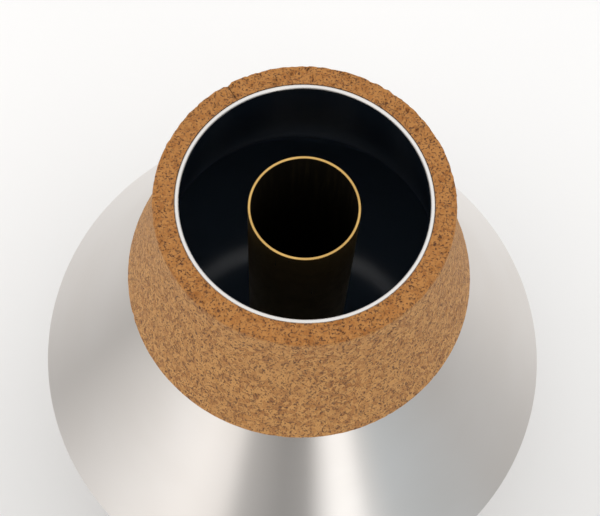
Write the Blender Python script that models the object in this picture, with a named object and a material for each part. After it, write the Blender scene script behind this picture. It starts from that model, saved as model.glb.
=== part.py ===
"""A wah-wah mute for trumpet: a spun aluminium body with a cork collar, and a brass stem that slides in its base.

The mute stands on the foot of the stem's cup, cork end up. The origin is on the floor on the mute's axis,
+Z is up, and every size is in metres. Each piece is turned about that axis, as the real ones are on a lathe,
so each is drawn as an outline of (radius, height) points. Faces that touch on the real mute keep a small gap.
"""

import math

import bmesh
import bpy

MM = 0.001

# Gap left between faces that touch, and round the stem, where it slides in its cork
SEAT_GAP = 0.3 * MM
SLIDE_GAP = 0.2 * MM

# Stem tube
TUBE_RADIUS = 9.525 * MM
TUBE_WALL = 0.55 * MM
TUBE_BELOW_RIM = 3.2 * MM
TUBE_SWAGE_RADIUS = 12.2 * MM
TUBE_SWAGE_FILLET = 0.5 * MM

# Stem cup
CUP_WALL = 0.6 * MM
CUP_HEIGHT = 19.5 * MM
CUP_CROWN_HEIGHT = 15.0 * MM
CUP_SHOULDER_RADIUS = 22.0 * MM
CUP_SHOULDER_FILLET = 9.0 * MM
CUP_SKIRT_RADIUS = 24.9 * MM
CUP_FOOT_RADIUS = 27.8 * MM
CUP_FOOT_CURL = 2.1 * MM
CUP_NECK_CURL = 1.3 * MM

# Spun aluminium body, in two halves that meet in a folded seam at the widest circle
SHEET = 0.8 * MM
RIM_RADIUS = 21.5 * MM
NECK_TAPER = math.radians(9.5)
NECK_BEND = 25.0 * MM
BODY_TAPER = math.radians(28.8)
BODY_HEIGHT = 108.8 * MM
WIDEST_RADIUS = 53.8 * MM
WIDEST_BELOW_RIM = 78.7 * MM
SEAM_FOLD = 1.5 * MM
SEAM_HEM = 2.2 * MM
PAN_WALL_RADIUS = 51.2 * MM
PAN_FILLET = 24.0 * MM
PAN_FLANGE_RADIUS = 52.5 * MM
PAN_FLANGE_FILLET = 0.5 * MM

# Guide collar, a turned eyelet closed over the hole in the base
COLLAR_FLANGE = 1.0 * MM
COLLAR_FLANGE_RADIUS = 15.2 * MM
COLLAR_LIP_RADIUS = 10.2 * MM
COLLAR_WALL = 0.9 * MM
COLLAR_LENGTH = 18.2 * MM
COLLAR_BEAD = 1.2 * MM
COLLAR_EDGE = 0.3 * MM

# Cork, a tapered strip round the neck and a thin strip inside the guide collar
CORK_TOP_RADIUS = 25.15 * MM
CORK_BOTTOM_RADIUS = 32.4 * MM
CORK_LENGTH = 33.5 * MM
CORK_FLARE = 1.4
CORK_TOP_EDGE = 0.5 * MM
CORK_BOTTOM_EDGE = 1.2 * MM
CORK_JOINT_AZIMUTH = math.radians(115)
CORK_JOINT_GAP = 0.35 * MM
LINING_THICKNESS = 1.5 * MM
LINING_JOINT_GAP = 0.4 * MM

# Heights on the axis, from the floor up
COLLAR_Z = CUP_HEIGHT + SEAT_GAP
BASE_Z = COLLAR_Z + COLLAR_FLANGE + SEAT_GAP
RIM_Z = BASE_Z + BODY_HEIGHT
WIDEST_Z = RIM_Z - WIDEST_BELOW_RIM
CORK_BOTTOM_Z = RIM_Z - CORK_LENGTH

# Fineness of the turned surfaces
BODY_STEPS = 56
STEM_STEPS = 40
ARC_STEP = math.radians(12)
SMALL_FILLET = 2.0 * MM
SMALL_ARC_STEP = math.radians(30)
CORK_CURVE_STEPS = 8
SHARP_ANGLE = math.radians(35)

# Finishes: colour, roughness and metallic value
ALUMINIUM = ("spun_aluminium", (0.80, 0.80, 0.81), 0.32, 1.0)
BRASS = ("drawn_brass", (0.78, 0.58, 0.28), 0.25, 1.0)
CORK = ("agglomerated_cork", (0.42, 0.25, 0.11), 0.85, 0.0)


def clear_scene():
    """Removes whatever the file holds."""
    for thing in list(bpy.data.objects):
        bpy.data.objects.remove(thing, do_unlink=True)


def finish(name, colour, roughness, metallic):
    """A Principled material."""
    material = bpy.data.materials.new(name)
    material.use_nodes = True
    surface = material.node_tree.nodes["Principled BSDF"]
    surface.inputs["Base Color"].default_value = (*colour, 1.0)
    surface.inputs["Roughness"].default_value = roughness
    surface.inputs["Metallic"].default_value = metallic
    material.diffuse_color = (*colour, 1.0)
    return material


def unit(start, end):
    """The direction from one outline point to another."""
    length = math.dist(start, end)
    return ((end[0] - start[0]) / length, (end[1] - start[1]) / length)


def fillet_points(before, corner, after, radius):
    """Points of the arc of that radius that rounds off a corner of an outline."""
    back = unit(corner, before)
    ahead = unit(corner, after)
    half = math.acos(back[0] * ahead[0] + back[1] * ahead[1]) / 2
    middle = math.hypot(back[0] + ahead[0], back[1] + ahead[1])
    reach = radius / math.sin(half)
    centre = (
        corner[0] + reach * (back[0] + ahead[0]) / middle,
        corner[1] + reach * (back[1] + ahead[1]) / middle,
    )
    tangent = radius / math.tan(half)
    start = (corner[0] + back[0] * tangent, corner[1] + back[1] * tangent)
    turn = math.pi - 2 * half
    if back[0] * ahead[1] - back[1] * ahead[0] > 0:
        turn = -turn
    steps = max(2, math.ceil(abs(turn) / (ARC_STEP if radius > SMALL_FILLET else SMALL_ARC_STEP)))
    arm = (start[0] - centre[0], start[1] - centre[1])
    points = []
    for step in range(steps + 1):
        angle = turn * step / steps
        points.append(
            (
                centre[0] + arm[0] * math.cos(angle) - arm[1] * math.sin(angle),
                centre[1] + arm[0] * math.sin(angle) + arm[1] * math.cos(angle),
            )
        )
    return points


def rounded(corners, closed=False):
    """An outline through corners of (radius, height, fillet), with each corner rounded by its fillet."""
    points = []
    count = len(corners)
    for index, (radius, height, fillet) in enumerate(corners):
        at_end = not closed and index in (0, count - 1)
        if at_end or fillet == 0:
            points.append((radius, height))
        else:
            before = corners[index - 1][:2]
            after = corners[(index + 1) % count][:2]
            points.extend(fillet_points(before, (radius, height), after, fillet))
    return points


def sheet(skin, gauge):
    """The closed outline of sheet metal whose one face is the skin line, with the metal on the line's right."""
    back = []
    for index, point in enumerate(skin):
        first = unit(skin[index - 1], point) if index else unit(point, skin[1])
        last = index == len(skin) - 1
        second = first if last else unit(point, skin[index + 1])
        across = (first[1] + second[1], -first[0] - second[0])
        square = (across[0] ** 2 + across[1] ** 2) / 2
        back.append((point[0] + gauge * across[0] / square, point[1] + gauge * across[1] / square))
    return skin + back[::-1]


def radius_at(line, height):
    """The radius where a line that runs downward passes a height."""
    for upper, lower in zip(line, line[1:]):
        if lower[1] <= height <= upper[1]:
            share = (upper[1] - height) / (upper[1] - lower[1])
            return upper[0] + share * (lower[0] - upper[0])
    raise ValueError("the line does not pass that height")


def turned(name, outline, steps, material, parent, joint_gap=0.0, joint_azimuth=0.0):
    """A solid turned about the axis from a closed outline.

    A strip bent into a ring has a joint gap: the angle that its two ends leave open at joint_azimuth.
    """
    mesh = bpy.data.meshes.new(name)
    bm = bmesh.new()
    start = joint_azimuth + joint_gap / 2
    ring = [
        bm.verts.new((radius * math.cos(start), radius * math.sin(start), height))
        for radius, height in outline
    ]
    profile = bm.faces.new(ring)
    if joint_gap:
        bmesh.ops.spin(
            bm, geom=[profile], axis=(0, 0, 1), cent=(0, 0, 0), angle=math.tau - joint_gap, steps=steps,
            use_duplicate=False,
        )
    else:
        edges = list(profile.edges)
        bm.faces.remove(profile)
        bmesh.ops.spin(
            bm, geom=ring + edges, axis=(0, 0, 1), cent=(0, 0, 0), angle=math.tau, steps=steps, use_merge=True
        )
    bmesh.ops.recalc_face_normals(bm, faces=bm.faces)
    bm.to_mesh(mesh)
    bm.free()
    mesh.materials.append(material)
    mesh.shade_smooth()
    mesh.set_sharp_from_angle(angle=SHARP_ANGLE)
    piece = bpy.data.objects.new(name, mesh)
    bpy.context.scene.collection.objects.link(piece)
    piece.parent = parent
    return piece


def axis_empty(name):
    """An empty on the mute's axis that carries the pieces of one body."""
    empty = bpy.data.objects.new(name, None)
    bpy.context.scene.collection.objects.link(empty)
    return empty


def body_skin():
    """The outside of the upper half: a tapered neck, a soft bend, a straight cone and the fold under the seam.

    The cone meets the fold's arc at a tangent, so the widest circle is the arc's own outermost point.
    """
    fold_centre = (WIDEST_RADIUS - SEAM_FOLD, WIDEST_Z)
    tangent = (
        fold_centre[0] + SEAM_FOLD * math.cos(BODY_TAPER),
        fold_centre[1] + SEAM_FOLD * math.sin(BODY_TAPER),
    )
    slope = math.tan(BODY_TAPER)
    neck_slope = math.tan(NECK_TAPER)
    bend_drop = (tangent[0] - RIM_RADIUS - slope * (RIM_Z - tangent[1])) / (neck_slope - slope)
    under = WIDEST_Z - SEAM_FOLD
    return rounded(
        [
            (RIM_RADIUS, RIM_Z, 0),
            (RIM_RADIUS + neck_slope * bend_drop, RIM_Z - bend_drop, NECK_BEND),
            (tangent[0] + slope * (tangent[1] - under), under, SEAM_FOLD),
            (WIDEST_RADIUS - SEAM_HEM, under, 0),
        ]
    )


def pan_skin():
    """The outside of the lower half: a flange held in the seam, a short upright wall and a round-cornered pan."""
    flange = WIDEST_Z - SHEET / 2
    hole = TUBE_RADIUS + SLIDE_GAP + LINING_THICKNESS + COLLAR_WALL + 2 * SEAT_GAP
    return rounded(
        [
            (PAN_FLANGE_RADIUS, flange, 0),
            (PAN_WALL_RADIUS, flange, PAN_FLANGE_FILLET),
            (PAN_WALL_RADIUS, BASE_Z, PAN_FILLET),
            (hole, BASE_Z, 0),
        ]
    )


def cork_outline(skin):
    """The tapered strip: its inside follows the neck, and its outside flares gently, more so towards the bottom."""
    levels = [height for _, height in skin if CORK_BOTTOM_Z < height < RIM_Z]
    inside = [(radius_at(skin, height) + SEAT_GAP, height, 0) for height in [RIM_Z, *levels, CORK_BOTTOM_Z]]
    flare = CORK_BOTTOM_RADIUS - CORK_TOP_RADIUS
    outside = []
    for step in range(CORK_CURVE_STEPS + 1):
        share = step / CORK_CURVE_STEPS
        radius = CORK_TOP_RADIUS + flare * share**CORK_FLARE
        edge = {0: CORK_TOP_EDGE, CORK_CURVE_STEPS: CORK_BOTTOM_EDGE}.get(step, 0)
        outside.append((radius, RIM_Z - CORK_LENGTH * share, edge))
    return rounded(outside + inside[::-1], closed=True)


def collar_outline():
    """The eyelet: a flange under the base, a bead closed over its inside, and a sleeve with a lip for the cork."""
    inner = TUBE_RADIUS + SLIDE_GAP + LINING_THICKNESS + SEAT_GAP
    outer = inner + COLLAR_WALL
    top = COLLAR_Z + COLLAR_LENGTH
    shelf = COLLAR_Z + COLLAR_FLANGE
    bead_low = BASE_Z + SHEET + SEAT_GAP
    bead = []
    bead_steps = 4
    for step in range(bead_steps + 1):
        angle = math.pi * step / bead_steps - math.pi / 2
        bead.append(
            (outer + COLLAR_BEAD * math.cos(angle), bead_low + COLLAR_BEAD * (1 + math.sin(angle)), 0)
        )
    return rounded(
        [
            (COLLAR_LIP_RADIUS, COLLAR_Z, 0),
            (COLLAR_FLANGE_RADIUS, COLLAR_Z, COLLAR_EDGE),
            (COLLAR_FLANGE_RADIUS, shelf, COLLAR_EDGE),
            (outer, shelf, 0),
            *bead,
            (outer, top, 0),
            (inner, top, 0),
            (inner, shelf, 0),
            (COLLAR_LIP_RADIUS, shelf, 0),
        ],
        closed=True,
    )


def lining_outline():
    """The thin cork strip that grips the stem, between the collar's lip and the top of its sleeve."""
    inner = TUBE_RADIUS + SLIDE_GAP
    outer = inner + LINING_THICKNESS
    low = COLLAR_Z + COLLAR_FLANGE + SEAT_GAP
    high = COLLAR_Z + COLLAR_LENGTH
    return [(inner, low), (outer, low), (outer, high), (inner, high)]


def tube_skin():
    """The outside of the stem's tube, down to the end swaged out under the cup's crown."""
    swage = CUP_CROWN_HEIGHT - CUP_WALL - SEAT_GAP
    return rounded(
        [
            (TUBE_RADIUS, RIM_Z - TUBE_BELOW_RIM, 0),
            (TUBE_RADIUS, swage, TUBE_SWAGE_FILLET),
            (TUBE_SWAGE_RADIUS, swage, 0),
        ]
    )


def cup_skin():
    """The outside of the stem's cup: curled neck, crown, round shoulder, flared skirt and curled foot."""
    neck = TUBE_RADIUS + SEAT_GAP + CUP_WALL
    under_curl = CUP_HEIGHT - CUP_WALL
    bend = CUP_WALL * 0.75
    return rounded(
        [
            (neck + CUP_NECK_CURL, under_curl, 0),
            (neck, under_curl, bend),
            (neck, CUP_CROWN_HEIGHT, bend),
            (CUP_SHOULDER_RADIUS, CUP_CROWN_HEIGHT, CUP_SHOULDER_FILLET),
            (CUP_SKIRT_RADIUS, CUP_WALL, bend),
            (CUP_FOOT_RADIUS - CUP_WALL, CUP_WALL, bend),
            (CUP_FOOT_RADIUS - CUP_WALL, CUP_FOOT_CURL, 0),
        ]
    )


def build_mute_body():
    """The part that stays in the trumpet: both aluminium halves, the guide collar and both corks."""
    body = axis_empty("mute_body_axis")
    aluminium = finish(*ALUMINIUM)
    cork = finish(*CORK)
    skin = body_skin()
    turned("body_cone", sheet(skin, SHEET), BODY_STEPS, aluminium, body)
    turned("base_pan", sheet(pan_skin(), SHEET), BODY_STEPS, aluminium, body)
    turned(
        "cork_collar", cork_outline(skin), BODY_STEPS, cork, body,
        joint_gap=CORK_JOINT_GAP / CORK_TOP_RADIUS, joint_azimuth=CORK_JOINT_AZIMUTH,
    )
    turned("guide_collar", collar_outline(), STEM_STEPS, aluminium, body)
    turned(
        "guide_lining", lining_outline(), STEM_STEPS, cork, body,
        joint_gap=LINING_JOINT_GAP / TUBE_RADIUS, joint_azimuth=CORK_JOINT_AZIMUTH,
    )


def build_stem():
    """The stem that slides along the axis: a tube and the cup fixed on its lower end."""
    stem = axis_empty("stem_axis")
    brass = finish(*BRASS)
    turned("stem_tube", sheet(tube_skin(), TUBE_WALL), STEM_STEPS, brass, stem)
    turned("stem_cup", sheet(cup_skin(), CUP_WALL), STEM_STEPS, brass, stem)


def main():
    clear_scene()
    build_mute_body()
    build_stem()


main()
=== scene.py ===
"""The looks of a wah-wah mute for trumpet: spun aluminium, cork and brass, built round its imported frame.

Sizes are in millimetres and turned into Blender's metres when a mesh is made. Every piece is turned about
the mute's axis, so it is drawn as an outline of (radius, height) points. The heights of the rim, the base,
the cork, the guide and the tube come from the frame.
"""

from __future__ import annotations

import logging
import math
from dataclasses import dataclass, field
from enum import Enum
from typing import Callable, ClassVar, Sequence

import bpy
from mathutils import Matrix, Vector, noise


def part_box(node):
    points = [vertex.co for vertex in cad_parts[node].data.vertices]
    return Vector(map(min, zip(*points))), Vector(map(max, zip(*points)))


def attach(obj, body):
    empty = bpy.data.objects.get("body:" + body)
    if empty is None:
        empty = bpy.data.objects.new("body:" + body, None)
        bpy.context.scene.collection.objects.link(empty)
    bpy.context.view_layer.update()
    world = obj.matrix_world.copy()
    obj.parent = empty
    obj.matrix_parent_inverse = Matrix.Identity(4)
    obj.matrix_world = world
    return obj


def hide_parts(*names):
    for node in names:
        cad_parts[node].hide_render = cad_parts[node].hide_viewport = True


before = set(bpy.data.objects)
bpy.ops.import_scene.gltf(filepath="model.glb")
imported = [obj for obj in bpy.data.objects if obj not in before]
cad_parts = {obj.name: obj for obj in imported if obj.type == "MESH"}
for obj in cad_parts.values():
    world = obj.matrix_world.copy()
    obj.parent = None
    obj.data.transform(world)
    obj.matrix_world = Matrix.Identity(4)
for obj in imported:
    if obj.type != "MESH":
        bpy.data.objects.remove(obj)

LOG = logging.getLogger("trumpet_mute")

# Metres in a millimetre.
MM = 0.001

# The gauge of the body's sheet, the stem tube's outer radius and the rim's height above the foot.
SHEET = 0.8
STEM_RADIUS = 9.525
RIM_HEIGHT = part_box("body_cone")[1].z / MM

# Edges with a sharper bend than this stay crisp.
SHARP_ANGLE = math.radians(40)

# The average of a noise, and the anisotropic rotation that makes gloss run out from the axis.
NOISE_MIDDLE = 0.5
QUARTER_TURN = 0.25

# Where the wall in the direction of +X stands on the light's ramp.
RAMP_MIDDLE = 0.5

Point = tuple[float, float]
Corner = tuple[float, float, float]
Colour = tuple[float, float, float, float]
Stops = Sequence[tuple[float, Colour]]


class Body(Enum):
    """The bodies of the frame that a piece can ride on."""

    MUTE = "mute_body"
    STEM = "stem"


class Slot(Enum):
    """The record's material slots."""

    SPUN = "spun_aluminium"
    TURNED = "turned_aluminium"
    CORK = "cork"
    BRASS = "brass"


class Side(Enum):
    """Which finish of a piece a stretch of its outline has. The value is the number of its material."""

    OUTSIDE = 0
    INSIDE = 1


@dataclass(frozen=True)
class Shade:
    """An output of a shader node, wrapped so that maths on it reads as maths."""

    graph: Graph
    socket: bpy.types.NodeSocket

    def _maths(self, operation: str, first: Operand, second: Operand) -> Shade:
        """Adds the node of an operation: Math where this is a number, or else Vector Math.

        Args:
            operation: the node's operation, such as ADD.
            first: the left operand.
            second: the right operand.

        Returns:
            The node's result.
        """
        if self.socket.type == "VALUE":
            return self.graph.node("ShaderNodeMath", {"operation": operation}, {0: first, 1: second})
        triples = [value if isinstance(value, Shade) else (value,) * 3 for value in (first, second)]
        return self.graph.node("ShaderNodeVectorMath", {"operation": operation}, dict(enumerate(triples)))

    def __add__(self, other: Operand) -> Shade:
        """This plus other."""
        return self._maths("ADD", self, other)

    __radd__ = __add__

    def __sub__(self, other: Operand) -> Shade:
        """This minus other."""
        return self._maths("SUBTRACT", self, other)

    def __rsub__(self, other: float) -> Shade:
        """Other minus this."""
        return self._maths("SUBTRACT", other, self)

    def __mul__(self, other: Operand) -> Shade:
        """This times other."""
        return self._maths("MULTIPLY", self, other)

    __rmul__ = __mul__

    def __truediv__(self, other: Operand) -> Shade:
        """This divided by other."""
        return self._maths("DIVIDE", self, other)

    def __pow__(self, other: float) -> Shade:
        """This to the power of other."""
        return self._maths("POWER", self, other)

    def clamped(self) -> Shade:
        """This held between 0 and 1."""
        settings = {"operation": "ADD", "use_clamp": True}
        return self.graph.node("ShaderNodeMath", settings, {0: self, 1: 0.0})

    def step(self, low: float, high: float) -> Shade:
        """A smooth step that rises from 0 to 1 while this goes from low to high."""
        sockets = {"Value": self, "From Min": low, "From Max": high}
        return self.graph.node("ShaderNodeMapRange", {"interpolation_type": "SMOOTHSTEP"}, sockets)


Operand = Shade | float


@dataclass
class Graph:
    """The node tree of a material or of the world."""

    tree: bpy.types.NodeTree

    def __post_init__(self) -> None:
        """Starts from an empty tree."""
        self.tree.nodes.clear()

    def node(
        self,
        kind: str,
        settings: dict[str, object] | None = None,
        sockets: dict[str | int, object] | None = None,
        output: str | int = 0,
    ) -> Shade:
        """Adds a node.

        Args:
            kind: the node's type.
            settings: its properties, set before its sockets.
            sockets: values or links of its input sockets, by name or number.
            output: the output that is wanted.

        Returns:
            The wrapped output, or the first input of a node that has no output.
        """
        node = self.tree.nodes.new(kind)
        for name, value in (settings or {}).items():
            setattr(node, name, value)
        for key, value in (sockets or {}).items():
            if isinstance(value, Shade):
                self.tree.links.new(value.socket, node.inputs[key])
            else:
                node.inputs[key].default_value = value
        return Shade(self, node.outputs[output] if len(node.outputs) else node.inputs[0])

    def place(self) -> Shade:
        """The surface point in millimetres, in the mute's frame."""
        return self.node("ShaderNodeTexCoord", output="Object") / MM

    def axes(self, point: Shade) -> tuple[Shade, Shade, Shade]:
        """The x, y and z of a vector."""
        split = self.node("ShaderNodeSeparateXYZ", sockets={0: point})
        return tuple(Shade(self, output) for output in split.socket.node.outputs)

    def vector(self, x: Operand, y: Operand, z: Operand) -> Shade:
        """A vector from its three parts."""
        return self.node("ShaderNodeCombineXYZ", sockets={0: x, 1: y, 2: z})

    def round_axis(self, point: Shade, wander: float) -> Shade:
        """A point that changes little round the axis, so that noise on it makes rings."""
        x, y, z = self.axes(point)
        return self.vector((x * x + y * y) ** 0.5, wander * x, z)

    def along_axis(self, point: Shade, share: float) -> Shade:
        """A point whose height counts only a share, so that noise on it is drawn out along the axis."""
        x, y, z = self.axes(point)
        return self.vector(x, y, share * z)

    def cells(self, point: Shade) -> Shade:
        """A colour of its own for each cell of a pattern whose cells are about one unit across."""
        return self.node("ShaderNodeTexVoronoi", sockets={"Vector": point, "Scale": 1.0}, output="Color")

    def mix(self, share: Operand, first: Shade | Colour, second: Shade | Colour) -> Shade:
        """A colour between two colours."""
        settings = {"data_type": "RGBA"}
        return self.node("ShaderNodeMix", settings, {0: share, 6: first, 7: second}, output=2)

    def ramp(self, value: Shade, stops: Stops) -> Shade:
        """A colour read from a ramp.

        Args:
            value: the place on the ramp, from 0 to 1.
            stops: pairs of position and colour, in rising order.

        Returns:
            The colour at that place.
        """
        colour = self.node("ShaderNodeValToRGB", sockets={0: value})
        ramp = colour.socket.node.color_ramp
        while len(ramp.elements) < len(stops):
            ramp.elements.new(1.0)
        for element, (position, tint) in zip(ramp.elements, stops):
            element.position = position
            element.color = tint
        return colour

    def bump(self, height: Shade, depth: float) -> Shade:
        """A normal that follows a height pattern of the given depth in millimetres."""
        sockets = {"Height": height, "Distance": depth * MM, "Strength": 1.0}
        return self.node("ShaderNodeBump", sockets=sockets)

    def surface(self, sockets: dict[str | int, object]) -> Shade:
        """A Principled shader."""
        return self.node("ShaderNodeBsdfPrincipled", sockets=sockets)

    def blend(self, share: Operand, first: Shade, second: Shade) -> Shade:
        """A shader between two shaders."""
        return self.node("ShaderNodeMixShader", sockets={0: share, 1: first, 2: second})


@dataclass(frozen=True)
class Pattern:
    """A noise with a scale in waves per millimetre, and the two levels between which its mask rises."""

    scale: float
    detail: float = 2.0
    roughness: float = 0.5
    low: float = 0.0
    high: float = 1.0

    def at(self, point: Shade, output: str | int = 0) -> Shade:
        """The noise at a point, from 0 to 1, or its output of another name."""
        sockets = {"Vector": point, "Scale": self.scale, "Detail": self.detail, "Roughness": self.roughness}
        return point.graph.node("ShaderNodeTexNoise", sockets=sockets, output=output)

    def mask(self, value: Shade) -> Shade:
        """The noise's value made steep, from 0 at the low level to 1 at the high one."""
        return value.step(self.low, self.high)


def rgb(red: float, green: float, blue: float) -> Colour:
    """A linear colour with full alpha."""
    return (red, green, blue, 1.0)


class Finish:
    """A finish: one material, made when it is first asked for."""

    name: str
    _made: ClassVar[dict[str, bpy.types.Material]] = {}

    def shade(self, graph: Graph) -> Shade:
        """The surface shader of this finish, drawn in a graph."""
        raise NotImplementedError

    def material(self) -> bpy.types.Material:
        """The finish as a material.

        Returns:
            The same material for every piece that has this finish.
        """
        if self.name not in self._made:
            material = bpy.data.materials.new(self.name)
            material.use_nodes = True
            graph = Graph(material.node_tree)
            graph.node("ShaderNodeOutputMaterial", sockets={"Surface": self.shade(graph)})
            self._made[self.name] = material
        return self._made[self.name]


@dataclass(frozen=True)
class SpunAluminium(Finish):
    """Satin aluminium with the fine rings that a spinning tool and abrasive leave round the axis."""

    name: str = "spun_aluminium"
    colour: Colour = rgb(0.70, 0.685, 0.665)
    warm_colour: Colour = rgb(0.68, 0.66, 0.635)
    roughness: float = 0.31
    anisotropy: float = 0.93
    rings: Pattern = Pattern(scale=2.6, detail=5.0, roughness=0.75)
    ring_wander: float = 0.04
    ring_depth: float = 0.004
    ring_roughness: float = 0.08
    clouds: Pattern = Pattern(scale=0.035, detail=3.0, low=0.35, high=0.65)
    cloud_roughness: float = 0.05
    scuffs: Pattern = Pattern(scale=0.9, detail=6.0, roughness=0.7, low=0.60, high=0.74)
    scuff_across: float = 0.35
    scuff_up: float = 1.6
    scuff_roughness: float = 0.05

    def shade(self, graph: Graph) -> Shade:
        """Draws rings that hardly change round the axis, soft clouds and fine handling scuffs.

        Args:
            graph: the material's nodes.

        Returns:
            The surface shader.
        """
        point = graph.place()
        x, y, z = graph.axes(point)
        rings = self.rings.at(graph.round_axis(point, self.ring_wander))
        clouds = self.clouds.at(point)
        stretched = graph.vector(self.scuff_across * x, self.scuff_across * y, self.scuff_up * z)
        scuffs = self.scuffs.at(stretched)
        roughness = self.roughness + self.ring_roughness * (rings - NOISE_MIDDLE)
        roughness += self.cloud_roughness * (clouds - NOISE_MIDDLE)
        roughness += self.scuff_roughness * self.scuffs.mask(scuffs)
        return graph.surface({
            "Base Color": graph.mix(self.clouds.mask(clouds), self.colour, self.warm_colour),
            "Metallic": 1.0,
            "Roughness": roughness,
            "Anisotropic": self.anisotropy,
            "Anisotropic Rotation": QUARTER_TURN,
            "Normal": graph.bump(rings, self.ring_depth),
        })


@dataclass(frozen=True)
class DarkInside(Finish):
    """The lacquer inside the body, which stops in an uneven line just below the bare rim. Its colour holds
    painted light and shade: near-black at the neck, and a lighter blue deep inside, where little light
    reaches.
    """

    name: str = "dark_inside"
    colour: Colour = rgb(0.0048, 0.0078, 0.0125)
    # painted light: the lighter blue deep inside the body, where little light reaches
    deep_painted_light: Colour = rgb(0.110, 0.150, 0.215)
    painted_light_from: float = 16.0
    painted_light_to: float = 40.0
    roughness: float = 0.17
    shine: float = 0.33
    rings: Pattern = Pattern(scale=1.2, detail=4.0, roughness=0.7)
    ring_wander: float = 0.02
    ring_depth: float = 0.006
    ring_roughness: float = 0.06
    dust: Pattern = Pattern(scale=1.6, detail=6.0, roughness=0.65, low=0.62, high=0.75)
    dust_colour: Colour = rgb(0.05, 0.055, 0.06)
    dust_cover: float = 0.25
    dust_roughness: float = 0.12
    metal: Colour = rgb(0.80, 0.80, 0.80)
    metal_roughness: float = 0.3
    bare_edge: float = 0.12
    unevenness: float = 0.30
    edge: Pattern = Pattern(scale=0.22, detail=4.0)
    edge_blur: float = 0.05

    def shade(self, graph: Graph) -> Shade:
        """Draws lacquer with faint spinning rings and dust on it, its colour graded with depth as painted
        light and shade, and bare metal at the very edge.

        Args:
            graph: the material's nodes.

        Returns:
            The surface shader.
        """
        point = graph.place()
        _, _, z = graph.axes(point)
        depth = RIM_HEIGHT - z
        rings = self.rings.at(graph.round_axis(point, self.ring_wander))
        dust = self.dust.mask(self.dust.at(point))
        # painted light and shade: near-black at the neck, graded to a lighter blue with depth
        coat_and_painted_light = graph.mix(depth.step(self.painted_light_from, self.painted_light_to), self.colour, self.deep_painted_light)
        lacquer = graph.surface({
            "Base Color": graph.mix(self.dust_cover * dust, coat_and_painted_light, self.dust_colour),
            "Roughness": self.roughness + self.dust_roughness * dust + self.ring_roughness * rings,
            "Specular IOR Level": self.shine,
            "Normal": graph.bump(rings, self.ring_depth),
        })
        bare = graph.surface({"Base Color": self.metal, "Metallic": 1.0, "Roughness": self.metal_roughness})
        edge = self.bare_edge + self.unevenness * self.edge.at(graph.along_axis(point, 0.0))
        return graph.blend((depth - edge).step(-self.edge_blur, self.edge_blur), bare, lacquer)


@dataclass(frozen=True)
class AgglomeratedCork(Finish):
    """Cork granules pressed in a block: tan granules, dark flecks and pits, darker on a cut end."""

    name: str = "agglomerated_cork"
    sanded: Colour = rgb(0.50, 0.245, 0.074)
    end_tint: Colour = rgb(0.38, 0.140, 0.028)
    bark: Colour = rgb(0.105, 0.034, 0.011)
    tones: Stops = (
        (0.24, rgb(0.25, 0.092, 0.022)),
        (0.42, rgb(0.41, 0.176, 0.043)),
        (0.58, sanded),
        (0.80, rgb(0.57, 0.275, 0.078)),
    )
    granule: float = 0.70
    granule_share: float = 0.42
    granule_height: float = 0.22
    lie: float = 0.6
    bends: Pattern = Pattern(scale=1.1, detail=3.0)
    bend_depth: float = 0.5
    grit: Pattern = Pattern(scale=3.9, detail=4.0, roughness=0.78)
    grit_share: float = 0.58
    grit_height: float = 0.40
    grit_roughness: float = 0.15
    clouds: Pattern = Pattern(scale=0.16, detail=3.0, low=0.35, high=0.65)
    cloud_cover: float = 0.30
    end_reach: float = 1.0
    end_full: float = 0.25
    end_cover: float = 0.5
    flecks: Pattern = Pattern(scale=1 / 0.36, detail=3.0, roughness=0.6, low=0.565, high=0.61)
    fleck_cover: float = 0.66
    fleck_spread: float = 0.34
    pits: Pattern = Pattern(scale=1.0, detail=4.0, roughness=0.62, low=0.60, high=0.68)
    pit_cover: float = 0.70
    end_pit_cover: float = 0.25
    dark_depth: float = 0.85
    relief: float = 0.16
    roughness: float = 0.78
    shine: float = 0.35
    fuzz: float = 0.14
    fuzz_roughness: float = 0.5
    fuzz_tint: Colour = rgb(1.0, 0.85, 0.62)

    def shade(self, graph: Graph) -> Shade:
        """Draws granules that lie along the strip's height, dark flecks among them, and pits.

        Args:
            graph: the material's nodes.

        Returns:
            The surface shader.
        """
        point = graph.place()
        _, _, z = graph.axes(point)
        end = z.step(RIM_HEIGHT - self.end_reach, RIM_HEIGHT - self.end_full)
        grain = graph.along_axis(point, self.lie)
        bent = self.bend_depth * self.bends.at(grain, output="Color") + grain
        granules = bent / self.granule
        tone, second_tone, _ = graph.axes(graph.cells(granules))
        grit = self.grit.at(grain)
        clouds = self.clouds.mask(self.clouds.at(grain))
        flecks = self.flecks.mask(self.flecks.at(bent))
        pits = self.pits.mask(self.pits.at(granules))
        fleck_cover = self.fleck_cover + self.fleck_spread * second_tone
        pit_cover = self.pit_cover + self.end_pit_cover * end
        dark = (fleck_cover * flecks + pit_cover * pits).clamped()
        colour = graph.ramp(self.granule_share * tone + self.grit_share * grit, self.tones)
        colour = graph.mix(self.cloud_cover * clouds, colour, self.sanded)
        colour = graph.mix(self.end_cover * end, colour, self.end_tint)
        height = self.granule_height * tone + self.grit_height * grit - self.dark_depth * dark
        return graph.surface({
            "Base Color": graph.mix(dark, colour, self.bark),
            "Roughness": self.roughness + self.grit_roughness * grit,
            "Specular IOR Level": self.shine,
            "Sheen Weight": self.fuzz,
            "Sheen Roughness": self.fuzz_roughness,
            "Sheen Tint": self.fuzz_tint,
            "Normal": graph.bump(height, self.relief),
        })


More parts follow.
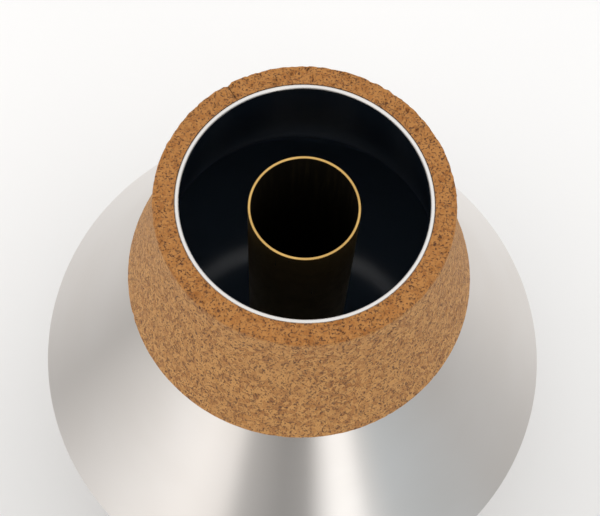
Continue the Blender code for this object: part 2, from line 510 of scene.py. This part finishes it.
@dataclass(frozen=True)
class DrawnBrass(Finish):
    """Brass tube, drawn lengthwise and slightly darkened by handling."""

    name: str = "drawn_brass"
    colour: Colour = rgb(0.60, 0.385, 0.130)
    roughness: float = 0.24
    anisotropy: float = 0.0
    marks: Pattern = Pattern(scale=3.5, detail=4.0, roughness=0.7)
    mark_drift: float = 0.02
    mark_depth: float = 0.003
    mark_roughness: float = 0.10
    tarnish_colour: Colour = rgb(0.36, 0.215, 0.065)
    tarnish_roughness: float = 0.14
    clouds: Pattern = Pattern(scale=0.12, detail=5.0, roughness=0.65, low=0.40, high=0.70)
    cloud_cover: float = 0.45
    spots: Pattern = Pattern(scale=1.1, detail=5.0, low=0.60, high=0.74)
    spot_cover: float = 0.25

    def _tool_path(self, graph: Graph, point: Shade) -> Shade:
        """The stretched point that makes the tool's marks run along the tube."""
        return graph.along_axis(point, self.mark_drift)

    def shade(self, graph: Graph) -> Shade:
        """Draws the tool's marks, and tarnish in clouds and spots.

        Args:
            graph: the material's nodes.

        Returns:
            The surface shader.
        """
        point = graph.place()
        marks = self.marks.at(self._tool_path(graph, point))
        clouds = self.clouds.mask(self.clouds.at(point))
        spots = self.spots.mask(self.spots.at(point))
        tarnish = self.cloud_cover * clouds + self.spot_cover * spots
        return graph.surface({
            "Base Color": graph.mix(tarnish, self.colour, self.tarnish_colour),
            "Metallic": 1.0,
            "Roughness": self.roughness + self.mark_roughness * marks + self.tarnish_roughness * tarnish,
            "Anisotropic": self.anisotropy,
            "Anisotropic Rotation": QUARTER_TURN,
            "Normal": graph.bump(marks, self.mark_depth),
        })


@dataclass(frozen=True)
class SpunBrass(DrawnBrass):
    """Brass spun over a form and polished, with fine rings round the axis and no spots."""

    name: str = "spun_brass"
    colour: Colour = rgb(0.72, 0.48, 0.18)
    anisotropy: float = 0.6
    marks: Pattern = Pattern(scale=2.8, detail=4.0, roughness=0.7)
    mark_drift: float = 0.03
    mark_roughness: float = 0.12
    tarnish_colour: Colour = rgb(0.46, 0.28, 0.10)
    tarnish_roughness: float = 0.12
    clouds: Pattern = Pattern(scale=0.10, detail=5.0, roughness=0.65, low=0.42, high=0.72)
    cloud_cover: float = 0.5
    spot_cover: float = 0.0

    def _tool_path(self, graph: Graph, point: Shade) -> Shade:
        """The stretched point that makes the tool's marks run round the axis."""
        return graph.round_axis(point, self.mark_drift)


@dataclass(frozen=True)
class BoreTarnishAndPaintedShade(Finish):
    """The inside of the brass tube, gone dark brown because nothing polishes it, and its colour deepened to
    near-black as painted shade.
    """

    name: str = "bore_tarnish_and_painted_shade"
    # painted shade: the tarnish colour is deepened to near-black to stand in for the shade down the bore
    colour: Colour = rgb(0.005, 0.0038, 0.0022)
    worn: Colour = rgb(0.012, 0.009, 0.004)
    roughness: float = 0.42
    shine: float = 0.12
    streaks: Pattern = Pattern(scale=1.4, detail=5.0, roughness=0.7, low=0.45, high=0.70)
    streak_stretch: float = 0.06
    streak_depth: float = 0.01
    streak_roughness: float = 0.2

    def shade(self, graph: Graph) -> Shade:
        """Draws dark oxide, deepened to near-black as painted shade, with lengthwise streaks.

        Args:
            graph: the material's nodes.

        Returns:
            The surface shader.
        """
        streaks = self.streaks.at(graph.along_axis(graph.place(), self.streak_stretch))
        return graph.surface({
            "Base Color": graph.mix(self.streaks.mask(streaks), self.colour, self.worn),
            "Roughness": self.roughness + self.streak_roughness * streaks,
            "Specular IOR Level": self.shine,
            "Normal": graph.bump(streaks, self.streak_depth),
        })


@dataclass(frozen=True)
class PaleFloor(Finish):
    """A matt white table, a little brighter away from the camera: its darker colour towards the camera is
    painted shade.
    """

    name: str = "pale_floor"
    # painted shade: the darker colour on the side towards the camera
    near: Colour = rgb(0.75, 0.745, 0.735)
    far: Colour = rgb(0.895, 0.893, 0.888)
    near_y: float = -90.0
    far_y: float = 110.0
    roughness: float = 0.85
    shine: float = 0.2
    tooth: Pattern = Pattern(scale=1.2, detail=4.0)
    tooth_depth: float = 0.01
    tooth_roughness: float = 0.1

    def shade(self, graph: Graph) -> Shade:
        """Draws a soft gradient of painted shade, darker towards the camera, and a faint paper tooth.

        Args:
            graph: the material's nodes.

        Returns:
            The surface shader.
        """
        point = graph.place()
        _, y, _ = graph.axes(point)
        tooth = self.tooth.at(point)
        return graph.surface({
            # painted shade: the floor's colour darkens towards the camera
            "Base Color": graph.mix(y.step(self.near_y, self.far_y), self.near, self.far),
            "Roughness": self.roughness + self.tooth_roughness * tooth,
            "Specular IOR Level": self.shine,
            "Normal": graph.bump(tooth, self.tooth_depth),
        })


@dataclass(frozen=True)
class Outline:
    """Lathe drawing: lines through corners with fillets, and sheet metal of one gauge."""

    arc_step: float = math.radians(5)
    fewest_steps: int = 3

    def _fillet(self, before: Point, corner: Point, after: Point, radius: float) -> list[Point]:
        """Points of the arc that rounds off one corner.

        Args:
            before: the corner before it.
            corner: the corner itself.
            after: the corner after it.
            radius: the arc's radius.

        Returns:
            The arc's points, from its start to its end.
        """
        middle = Vector(corner)
        back = (Vector(before) - middle).normalized()
        ahead = (Vector(after) - middle).normalized()
        half = back.angle(ahead) / 2
        centre = middle + (back + ahead).normalized() * (radius / math.sin(half))
        arm = middle + back * (radius / math.tan(half)) - centre
        turn = math.pi - 2 * half
        if back.x * ahead.y - back.y * ahead.x > 0:
            turn = -turn
        steps = max(self.fewest_steps, math.ceil(abs(turn) / self.arc_step))
        points = [centre + Matrix.Rotation(turn * step / steps, 2) @ arm for step in range(steps + 1)]
        return [(point.x, point.y) for point in points]

    def through(self, corners: Sequence[Corner], closed: bool = False) -> list[Point]:
        """An outline through corners of (radius, height, fillet).

        Args:
            corners: the corners in order.
            closed: whether the last corner joins the first.

        Returns:
            The outline's points.
        """
        points: list[Point] = []
        for index, (radius, height, fillet) in enumerate(corners):
            at_end = not closed and index in (0, len(corners) - 1)
            if at_end or fillet == 0:
                points.append((radius, height))
            else:
                before, after = corners[index - 1][:2], corners[(index + 1) % len(corners)][:2]
                points.extend(self._fillet(before, (radius, height), after, fillet))
        return points

    def behind(self, skin: Sequence[Point], gauge: float) -> list[Point]:
        """The other face of sheet metal, on the right of its skin line.

        Args:
            skin: the points of one face.
            gauge: the metal's thickness.

        Returns:
            One point for each point of the skin, in the same order.
        """
        back = []
        for index, point in enumerate(skin):
            here = Vector(point)
            first = (here - Vector(skin[index - 1])).normalized() if index else None
            last = index == len(skin) - 1
            second = None if last else (Vector(skin[index + 1]) - here).normalized()
            total = (first or second) + (second or first)
            across = Vector((total.y, -total.x))
            offset = here + across * (2 * gauge / across.length_squared)
            back.append((offset.x, offset.y))
        return back

    def sheet(self, skin: Sequence[Point], gauge: float, lip: float) -> list[Point]:
        """The closed section of sheet metal, with the edge at its skin's start softened.

        Args:
            skin: the points of one face.
            gauge: the metal's thickness.
            lip: the radius of both corners of the soft edge.

        Returns:
            The skin without its start, the other face without its end there, and the soft edge.
        """
        back = self.behind(skin, gauge)[::-1]
        edge = [(*back[-2], 0.0), (*back[-1], lip), (*skin[0], lip), (*skin[1], 0.0)]
        return [*skin[1:], *back[:-1], *self.through(edge)[1:-1]]


def linked(name: str, data: bpy.types.ID) -> bpy.types.Object:
    """Makes an object and links it to the scene.

    Args:
        name: the object's name.
        data: its mesh or camera.

    Returns:
        The object.
    """
    made = bpy.data.objects.new(name, data)
    bpy.context.scene.collection.objects.link(made)
    return made


@dataclass
class Piece:
    """One visible piece: a closed outline turned about the axis, dressed, and put in a node's place.

    sides gives each stretch of the outline its finish, and is empty where a piece has only one. A piece with
    a joint gap is a strip bent round the axis, whose ends face each other across that angle.
    """

    name: str
    outline: list[Point]
    body: Body
    slot: Slot
    finishes: Sequence[Finish]
    sides: list[Side] = field(default_factory=list)
    steps: int = 288
    joint_azimuth: float = 0.0
    joint_gap: float = 0.0
    shift: Callable[[Vector, int], Vector] | None = None

    @property
    def rings(self) -> int:
        """How many times the outline is repeated round the axis."""
        return self.steps + 1 if self.joint_gap > 0 else self.steps

    def _points(self) -> list[Vector]:
        """The mesh's points, ring by ring.

        Returns:
            The points in metres.
        """
        start = self.joint_azimuth + self.joint_gap / 2
        sweep = math.tau - self.joint_gap
        points = []
        for ring in range(self.rings):
            angle = start + sweep * ring / self.steps
            cosine, sine = math.cos(angle), math.sin(angle)
            for index, (radius, height) in enumerate(self.outline):
                point = Vector((radius * cosine, radius * sine, height))
                if self.shift:
                    point = self.shift(point, index)
                points.append(point * MM)
        return points

    def _faces(self) -> tuple[list[tuple[int, ...]], list[int]]:
        """The mesh's faces, with a cap on each end of a strip.

        Returns:
            The faces as numbers of points, and the number of each one's material.
        """
        count = len(self.outline)
        sides = self.sides or [Side.OUTSIDE] * count
        faces = []
        materials = []
        for ring in range(self.steps):
            here, there = ring * count, (ring + 1) % self.rings * count
            for index, side in enumerate(sides):
                after = (index + 1) % count
                faces.append((here + index, here + after, there + after, there + index))
                materials.append(side.value)
        if self.rings > self.steps:
            faces.append(tuple(range(count))[::-1])
            faces.append(tuple(range(self.steps * count, self.rings * count)))
            materials += [Side.OUTSIDE.value] * 2
        return faces, materials

    def _face_out(self, mesh: bpy.types.Mesh) -> None:
        """Turns all faces outward: an outline that runs anticlockwise gives faces that point in.

        Args:
            mesh: the piece's mesh.
        """
        pairs = zip(self.outline, self.outline[1:] + self.outline[:1])
        area = sum(first[0] * second[1] - second[0] * first[1] for first, second in pairs)
        if area > 0:
            mesh.flip_normals()

    def build(self) -> None:
        """Makes the mesh and its object, and hands them to the frame."""
        mesh = bpy.data.meshes.new(self.name)
        faces, materials = self._faces()
        mesh.from_pydata(self._points(), [], faces)
        mesh.polygons.foreach_set("material_index", materials)
        for finish in self.finishes:
            mesh.materials.append(finish.material())
        self._face_out(mesh)
        mesh.shade_smooth()
        mesh.set_sharp_from_angle(angle=SHARP_ANGLE)
        skin = linked(f"{self.name}_skin", mesh)
        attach(skin, self.body.value)
        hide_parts(self.name)
        LOG.info("%s: %d points, rides on %s", skin.name, len(mesh.vertices), self.body.value)


@dataclass
class SpunBody:
    """The aluminium body: an upper cone whose edge is folded under the flange of the lower pan."""

    rim_radius: float = 21.5
    rim_edge: float = 0.34
    neck_taper: float = math.radians(9.5)
    neck_bend: float = 25.0
    taper: float = math.radians(28.8)
    widest_below_rim: float = 78.7
    seam_fold: float = 1.5
    seam_hem: float = 2.2
    pan_wall_radius: float = 51.2
    pan_fillet: float = 24.0
    flange_radius: float = 52.5
    flange_fillet: float = 0.5
    hole_radius: float = 12.725
    pen: Outline = Outline()

    def __post_init__(self) -> None:
        """Reads the widest radius and the base's height from the frame."""
        self.widest_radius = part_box("body_cone")[1].x / MM
        self.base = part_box("base_pan")[0].z / MM
        self.widest = RIM_HEIGHT - self.widest_below_rim

    def cone_skin(self) -> list[Point]:
        """The outside of the cone: tapered neck, soft bend, straight cone, and the fold under the seam.

        Returns:
            The skin's points, from the rim down.
        """
        centre = (self.widest_radius - self.seam_fold, self.widest)
        touch = (
            centre[0] + self.seam_fold * math.cos(self.taper),
            centre[1] + self.seam_fold * math.sin(self.taper),
        )
        slope, neck_slope = math.tan(self.taper), math.tan(self.neck_taper)
        drop = (touch[0] - self.rim_radius - slope * (RIM_HEIGHT - touch[1])) / (neck_slope - slope)
        under = self.widest - self.seam_fold
        return self.pen.through([
            (self.rim_radius, RIM_HEIGHT, 0),
            (self.rim_radius + neck_slope * drop, RIM_HEIGHT - drop, self.neck_bend),
            (touch[0] + slope * (touch[1] - under), under, self.seam_fold),
            (self.widest_radius - self.seam_hem, under, 0),
        ])

    def pan_skin(self) -> list[Point]:
        """The outside of the pan: flange, short upright wall, round corner and flat disc.

        Returns:
            The skin's points, from the flange down and in to the hole.
        """
        flange = self.widest - SHEET / 2
        return self.pen.through([
            (self.flange_radius, flange, 0),
            (self.pan_wall_radius, flange, self.flange_fillet),
            (self.pan_wall_radius, self.base, self.pan_fillet),
            (self.hole_radius, self.base, 0),
        ])

    def build(self) -> None:
        """Builds both halves, dark inside and bare outside."""
        finishes = (SpunAluminium(), DarkInside())
        skin = self.cone_skin()
        outline = self.pen.sheet(skin, SHEET, self.rim_edge)
        face = len(skin) - 1
        sides = [Side.OUTSIDE] * face + [Side.INSIDE] * face
        sides += [Side.OUTSIDE] * (len(outline) - len(sides))
        Piece("body_cone", outline, Body.MUTE, Slot.SPUN, finishes, sides).build()
        skin = self.pan_skin()
        outline = skin + self.pen.behind(skin, SHEET)[::-1]
        sides = [Side.OUTSIDE] * len(skin) + [Side.INSIDE] * (len(skin) - 1) + [Side.OUTSIDE]
        Piece("base_pan", outline, Body.MUTE, Slot.SPUN, finishes, sides).build()


@dataclass(frozen=True)
class Hollows:
    """Scattered hollows in cork, which lie where a noise is above a threshold."""

    scale: float
    threshold: float
    seed: tuple[float, float, float]

    def depth(self, point: Vector) -> float:
        """How far the noise stands above the threshold at a point."""
        return max(0.0, noise.noise(point * self.scale + Vector(self.seed)) - self.threshold)


def hump(distance: float, width: float) -> float:
    """A smooth hump that is 1 at no distance and almost gone at two widths."""
    return math.exp(-((distance / width) ** 2))


@dataclass(frozen=True)
class CutCork:
    """How far the real surface of a cork strip lies below its drawn outline."""

    end_reach: float = 1.1
    side: float = 0.035
    top: float = 0.11
    base: float = 0.05
    grain_scale: float = 0.9
    grain_fall: float = 0.9
    grain_ratio: float = 2.1
    grain_layers: int = 4
    grain_level: float = 0.55
    grain_swing: float = 0.8
    pits: Hollows = Hollows(scale=1.25, threshold=0.28, seed=(7.0, 3.0, 1.0))
    pit_depth: float = 0.35
    top_pit_depth: float = 1.0
    chips: Hollows = Hollows(scale=0.62, threshold=0.22, seed=(2.0, 9.0, 4.0))
    chip_depth: float = 0.5
    joint_wear: float = 0.55
    joint_wear_width: float = 0.55
    joint_groove: float = 0.06
    joint_groove_width: float = 0.35

    def depth(self, point: Vector, below_top: float, above_base: float, from_joint: float) -> float:
        """How deep granules, pits, chips and the worn butt joint are at one point.

        Args:
            point: the drawn point.
            below_top: its distance from the strip's top end.
            above_base: its distance from the strip's base end.
            from_joint: its distance from the butt joint.

        Returns:
            The depth, which is never below 0.
        """
        top = max(0.0, 1.0 - below_top / self.end_reach)
        base = max(0.0, 1.0 - above_base / self.end_reach)
        place = point * self.grain_scale
        grain = noise.fractal(place, self.grain_fall, self.grain_ratio, self.grain_layers)
        rough = self.side + self.top * top + self.base * base
        depth = rough * (self.grain_level - self.grain_swing * grain)
        depth += self.pits.depth(point) * (self.pit_depth + self.top_pit_depth * top)
        depth += self.chips.depth(point) * self.chip_depth * top
        depth += self.joint_wear * top * hump(from_joint, self.joint_wear_width)
        depth += self.joint_groove * hump(from_joint, self.joint_groove_width)
        return max(0.0, depth)


@dataclass
class CorkCollar:
    """The tapered cork strip round the neck: sanded side, rough cut ends, a butt joint with a worn top."""

    body: SpunBody
    top_radius: float = 25.15
    bottom_radius: float = 32.4
    flare: float = 1.4
    bends: int = 12
    top_edge: float = 0.5
    bottom_edge: float = 1.0
    gap: float = 0.04
    joint_azimuth: float = math.radians(126)
    joint_gap: float = 0.14
    spacing: float = 0.42
    steps: int = 420
    neck_side: float = -0.5
    cut: CutCork = CutCork()

    def __post_init__(self) -> None:
        """Reads the cork's heights from the frame, and draws its section."""
        low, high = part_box("cork_collar")
        self.top, self.bottom = high.z / MM, low.z / MM
        self.outline = self._outline()
        self.normals = self._normals()

    @staticmethod
    def _neck_radius(skin: Sequence[Point], height: float) -> float:
        """The neck's outside radius at a height.

        Args:
            skin: the points of the cone's outside, from the rim down.
            height: the height.

        Returns:
            The radius, which above the skin's start is that of the start.
        """
        for upper, lower in zip(skin, skin[1:]):
            if lower[1] <= height <= upper[1]:
                share = (upper[1] - height) / (upper[1] - lower[1])
                return upper[0] + share * (lower[0] - upper[0])
        return skin[0][0]

    def _outline(self) -> list[Point]:
        """The strip's section, with points close enough together to carry the cork's roughness.

        Returns:
            The section's points: the outside from the top down, then the neck side from the base up.
        """
        length = self.top - self.bottom
        skin = self.body.cone_skin()
        outside: list[Corner] = []
        inside: list[Corner] = []
        for step in range(self.bends + 1):
            share = step / self.bends
            radius = self.top_radius + (self.bottom_radius - self.top_radius) * share**self.flare
            edge = {0: self.top_edge, self.bends: self.bottom_edge}.get(step, 0.0)
            outside.append((radius, self.top - length * share, edge))
            height = self.bottom + length * share
            inside.append((self._neck_radius(skin, height) + self.gap, height, 0.0))
        coarse = self.body.pen.through(outside + inside, closed=True)
        fine: list[Point] = []
        for here, there in zip(coarse, coarse[1:] + coarse[:1]):
            count = max(1, round(math.dist(here, there) / self.spacing))
            across, up = there[0] - here[0], there[1] - here[1]
            for step in range(count):
                share = step / count
                fine.append((here[0] + share * across, here[1] + share * up))
        return fine

    def _normals(self) -> list[Vector]:
        """The directions, across and up, that point out of the strip.

        Returns:
            One direction for each point of the outline.
        """
        neighbours = zip(self.outline[-1:] + self.outline[:-1], self.outline[1:] + self.outline[:1])
        along = [(Vector(after) - Vector(before)).normalized() for before, after in neighbours]
        return [Vector((-line.y, line.x)) for line in along]

    def _roughen(self, point: Vector, index: int) -> Vector:
        """Moves one point into the strip by the depth of its granules and pits.

        Args:
            point: the point, in millimetres.
            index: its number in the outline.

        Returns:
            The moved point, or the same point where the strip lies on the neck.
        """
        normal = self.normals[index]
        if normal.x < self.neck_side:
            return point
        outward = Vector((point.x, point.y, 0.0)).normalized()
        direction = Vector((outward.x * normal.x, outward.y * normal.x, normal.y))
        turn = math.remainder(math.atan2(point.y, point.x) - self.joint_azimuth, math.tau)
        from_joint = abs(turn) * math.hypot(point.x, point.y)
        depth = self.cut.depth(point, self.top - point.z, point.z - self.bottom, from_joint)
        return point - direction * depth

    def build(self) -> None:
        """Builds the strip."""
        gap = self.joint_gap / self.top_radius
        Piece(
            "cork_collar", self.outline, Body.MUTE, Slot.CORK, (AgglomeratedCork(),), steps=self.steps,
            joint_azimuth=self.joint_azimuth, joint_gap=gap, shift=self._roughen,
        ).build()


@dataclass
class StemGuide:
    """The turned eyelet in the base and the thin cork strip inside it."""

    flange: float = 1.0
    flange_radius: float = 15.2
    lip_radius: float = 10.2
    wall: float = 0.9
    inner_radius: float = 11.525
    bead: float = 1.2
    bead_steps: int = 10
    edge: float = 0.3
    gap: float = 0.3
    lining_gap: float = 0.2
    lining_edge: float = 0.2
    lining_joint_azimuth: float = math.radians(115)
    lining_joint_gap: float = 0.4
    steps: int = 160
    pen: Outline = Outline(arc_step=math.radians(15))
    turned: SpunAluminium = SpunAluminium(
        name="turned_aluminium",
        roughness=0.28,
        anisotropy=0.7,
        rings=Pattern(scale=4.0, detail=5.0, roughness=0.75),
    )
    cork: AgglomeratedCork = AgglomeratedCork(name="lining_cork", granule=0.8)

    def _collar(self) -> list[Point]:
        """The collar's section: lip, flange below the base, bead above it, and a plain top.

        Returns:
            The section's points.
        """
        low, high = (corner.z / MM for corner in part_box("guide_collar"))
        outer = self.inner_radius + self.wall
        shelf = low + self.flange
        bead_low = shelf + 2 * self.gap + SHEET
        bead: list[Corner] = []
        for step in range(self.bead_steps + 1):
            angle = math.pi * step / self.bead_steps - math.pi / 2
            rise = self.bead * (1 + math.sin(angle))
            bead.append((outer + self.bead * math.cos(angle), bead_low + rise, 0.0))
        corners = [
            (self.lip_radius, low, self.edge),
            (self.flange_radius, low, self.edge),
            (self.flange_radius, shelf, self.edge),
            (outer, shelf, 0.0),
            *bead,
            (outer, high, self.edge),
            (self.inner_radius, high, self.edge),
            (self.inner_radius, shelf, 0.0),
            (self.lip_radius, shelf, self.edge),
        ]
        return self.pen.through(corners, closed=True)

    def build(self) -> None:
        """Builds the collar and its lining."""
        finishes = (self.turned,)
        Piece("guide_collar", self._collar(), Body.MUTE, Slot.TURNED, finishes, steps=self.steps).build()
        low, high = (corner.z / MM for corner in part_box("guide_lining"))
        inner = STEM_RADIUS + self.lining_gap
        outer = self.inner_radius - self.gap
        corners = [(inner, low), (outer, low), (outer, high), (inner, high)]
        outline = self.pen.through([(*corner, self.lining_edge) for corner in corners], closed=True)
        Piece(
            "guide_lining", outline, Body.MUTE, Slot.CORK, (self.cork,), steps=self.steps,
            joint_azimuth=self.lining_joint_azimuth, joint_gap=self.lining_joint_gap / outer,
        ).build()


@dataclass
class Stem:
    """The sliding stem: a drawn brass tube and the spun cup fixed on its lower end."""

    tube_wall: float = 0.55
    tube_steps: int = 192
    swage_radius: float = 12.2
    swage_fillet: float = 0.5
    wall: float = 0.6
    bend: float = 0.45
    height: float = 19.5
    crown: float = 15.0
    shoulder_radius: float = 22.0
    shoulder_fillet: float = 9.0
    skirt_radius: float = 24.9
    foot_radius: float = 27.8
    foot_curl: float = 2.1
    neck_curl: float = 1.3
    cup_steps: int = 240
    gap: float = 0.3
    lip: float = 0.24
    pen: Outline = Outline()

    def __post_init__(self) -> None:
        """Reads the height of the tube's top from the frame."""
        self.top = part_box("stem_tube")[1].z / MM

    def _tube(self) -> list[Point]:
        """The tube's section, from its top to the end swaged out under the cup's crown.

        Returns:
            The section's points.
        """
        swage = self.crown - self.wall - self.gap
        skin = self.pen.through([
            (STEM_RADIUS, self.top, 0.0),
            (STEM_RADIUS, swage, self.swage_fillet),
            (self.swage_radius, swage, 0.0),
        ])
        return self.pen.sheet(skin, self.tube_wall, self.lip)

    def _cup(self) -> list[Point]:
        """The cup's section: curled neck, crown, round shoulder, flared skirt and curled foot.

        Returns:
            The section's points.
        """
        neck = STEM_RADIUS + self.gap + self.wall
        skin = self.pen.through([
            (neck + self.neck_curl, self.height - self.wall, 0.0),
            (neck, self.height - self.wall, self.bend),
            (neck, self.crown, self.bend),
            (self.shoulder_radius, self.crown, self.shoulder_fillet),
            (self.skirt_radius, self.wall, self.bend),
            (self.foot_radius - self.wall, self.wall, self.bend),
            (self.foot_radius - self.wall, self.foot_curl, 0.0),
        ])
        return self.pen.sheet(skin, self.wall, self.lip)

    def build(self) -> None:
        """Builds the tube, which has a dark bore below its bright lip, its colour deepened as painted shade,
        and the cup.
        """
        tube = self._tube()
        wall_middle = STEM_RADIUS - self.tube_wall / 2
        lip_middle = self.top - self.lip / 2
        sides = []
        for here, there in zip(tube, tube[1:] + tube[:1]):
            in_bore = here[0] < wall_middle and max(here[1], there[1]) < lip_middle
            sides.append(Side.INSIDE if in_bore else Side.OUTSIDE)
        finishes = (DrawnBrass(), BoreTarnishAndPaintedShade())
        Piece("stem_tube", tube, Body.STEM, Slot.BRASS, finishes, sides, steps=self.tube_steps).build()
        Piece("stem_cup", self._cup(), Body.STEM, Slot.BRASS, (SpunBrass(),), steps=self.cup_steps).build()


@dataclass
class Studio:
    """The pale floor, the soft light and the camera at the photograph's viewing angle."""

    image: tuple[int, int] = (600, 516)
    focal_pixels: float = 1300.0
    rim_pixel: Point = (305.085, 199.189)
    distance: float = 213.8
    elevation: float = math.radians(65.82)
    roll: float = math.radians(4.5)
    sensor: float = 36.0
    nearest: float = 10.0
    floor_size: float = 3000.0
    shaded_size: float = 90.0
    shaded_height: float = -0.05
    ceiling: Colour = rgb(1.27, 1.27, 1.27)
    ceiling_from: float = 0.35
    ceiling_to: float = 0.85
    backdrop: Colour = rgb(0.93, 0.93, 0.93)
    warm_green: float = 0.035
    warm_blue: float = 0.06

    @staticmethod
    def _square(name: str, size: float, height: float) -> bpy.types.Object:
        """Lays a level square of the pale floor round the axis.

        Args:
            name: the object's name.
            size: the length of its sides.
            height: its height.

        Returns:
            The square's object.
        """
        half, level = size / 2 * MM, height * MM
        corners = [(-half, -half, level), (half, -half, level), (half, half, level), (-half, half, level)]
        mesh = bpy.data.meshes.new(name)
        mesh.from_pydata(corners, [], [(0, 1, 2, 3)])
        mesh.materials.append(PaleFloor().material())
        return linked(name, mesh)

    def floor(self) -> None:
        """Lays a large pale floor under the mute's foot, which shiny surfaces don't mirror."""
        floor = self._square("floor", self.floor_size, 0.0)
        floor.visible_glossy = False

    def shade_under(self) -> None:
        """Lays the floor in the mute's own shadow, which is all the floor that shiny surfaces mirror."""
        shaded = self._square("shaded_floor", self.shaded_size, self.shaded_height)
        shaded.visible_camera = False

    def camera(self) -> None:
        """Sets the camera so that the rim's centre falls on its pixel of the photograph."""
        rim = Vector((0.0, 0.0, RIM_HEIGHT))
        away = Vector((0.0, -math.cos(self.elevation), math.sin(self.elevation)))
        right = Vector((1.0, 0.0, 0.0))
        facing = Matrix((right, away.cross(right), away)).transposed()
        width, height = self.image
        across = (self.rim_pixel[0] - width / 2) / self.focal_pixels
        up = (height / 2 - self.rim_pixel[1]) / self.focal_pixels
        aim = Vector((across, up, -1.0)).rotation_difference(Vector((0.0, 0.0, -1.0))).to_matrix()
        turn = facing @ Matrix.Rotation(self.roll, 3, "Z") @ aim
        data = bpy.data.cameras.new("camera")
        data.sensor_width = self.sensor
        data.lens = self.focal_pixels / width * self.sensor
        data.clip_start = self.nearest * MM
        camera = linked("camera", data)
        camera.matrix_world = Matrix.Translation((rim + away * self.distance) * MM) @ turn.to_4x4()
        bpy.context.scene.camera = camera

    def _wall_stops(self) -> Stops:
        """How bright the walls are all round.

        Each wall is given by its degrees from +X towards +Y, its brightness and its warmth.

        Returns:
            The stops of a ramp that goes once round the room.
        """
        walls = (
            (-180, 0.68, 1.0), (-160, 0.95, 1.0), (-138, 1.28, 1.0), (-124, 1.42, 1.2), (-112, 1.25, 1.2),
            (-105, 0.60, 1.0), (-90, 0.35, 1.0), (-80, 0.42, 1.0), (-73, 1.30, 0.6), (-69, 1.65, 0.6),
            (-62, 1.62, 0.6), (-57, 0.92, 0.0), (-49, 0.70, -1.6), (-36, 0.64, -1.2), (-15, 0.62, 0.6),
            (2, 0.70, 0.8), (30, 0.98, 1.0), (90, 1.10, 0.6), (150, 0.90, 1.0), (179, 0.62, 1.0),
        )
        stops = []
        for degrees, level, warmth in walls:
            green = level * (1 - self.warm_green * warmth)
            blue = level * (1 - self.warm_blue * warmth)
            stops.append((RAMP_MIDDLE + degrees / 360, rgb(level, green, blue)))
        return stops

    def light(self) -> None:
        """Lights a soft white room: bright overhead, with bright windows and dark gaps in its walls."""
        world = bpy.data.worlds.new("studio")
        world.use_nodes = True
        bpy.context.scene.world = world
        graph = Graph(world.node_tree)
        x, y, z = graph.axes(graph.node("ShaderNodeTexCoord", output="Generated"))
        azimuth = graph.node("ShaderNodeMath", {"operation": "ARCTAN2"}, {0: y, 1: x})
        walls = graph.ramp(azimuth / math.tau + RAMP_MIDDLE, self._wall_stops())
        room = graph.mix(z.step(self.ceiling_from, self.ceiling_to), walls, self.ceiling)
        seen = graph.node("ShaderNodeLightPath", output="Is Camera Ray")
        sockets = {"Color": graph.mix(seen, room, self.backdrop), "Strength": 1.0}
        background = graph.node("ShaderNodeBackground", sockets=sockets)
        graph.node("ShaderNodeOutputWorld", sockets={"Surface": background})

    def build(self) -> None:
        """Builds the stage."""
        self.floor()
        self.shade_under()
        self.camera()
        self.light()
        bpy.context.scene.view_settings.view_transform = "Standard"


def main() -> None:
    """Builds every piece on the frame, then the stage."""
    logging.basicConfig(level=logging.INFO, format="%(message)s")
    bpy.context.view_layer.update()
    body = SpunBody()
    body.build()
    CorkCollar(body).build()
    StemGuide().build()
    Stem().build()
    Studio().build()


if __name__ == "__main__":
    main()
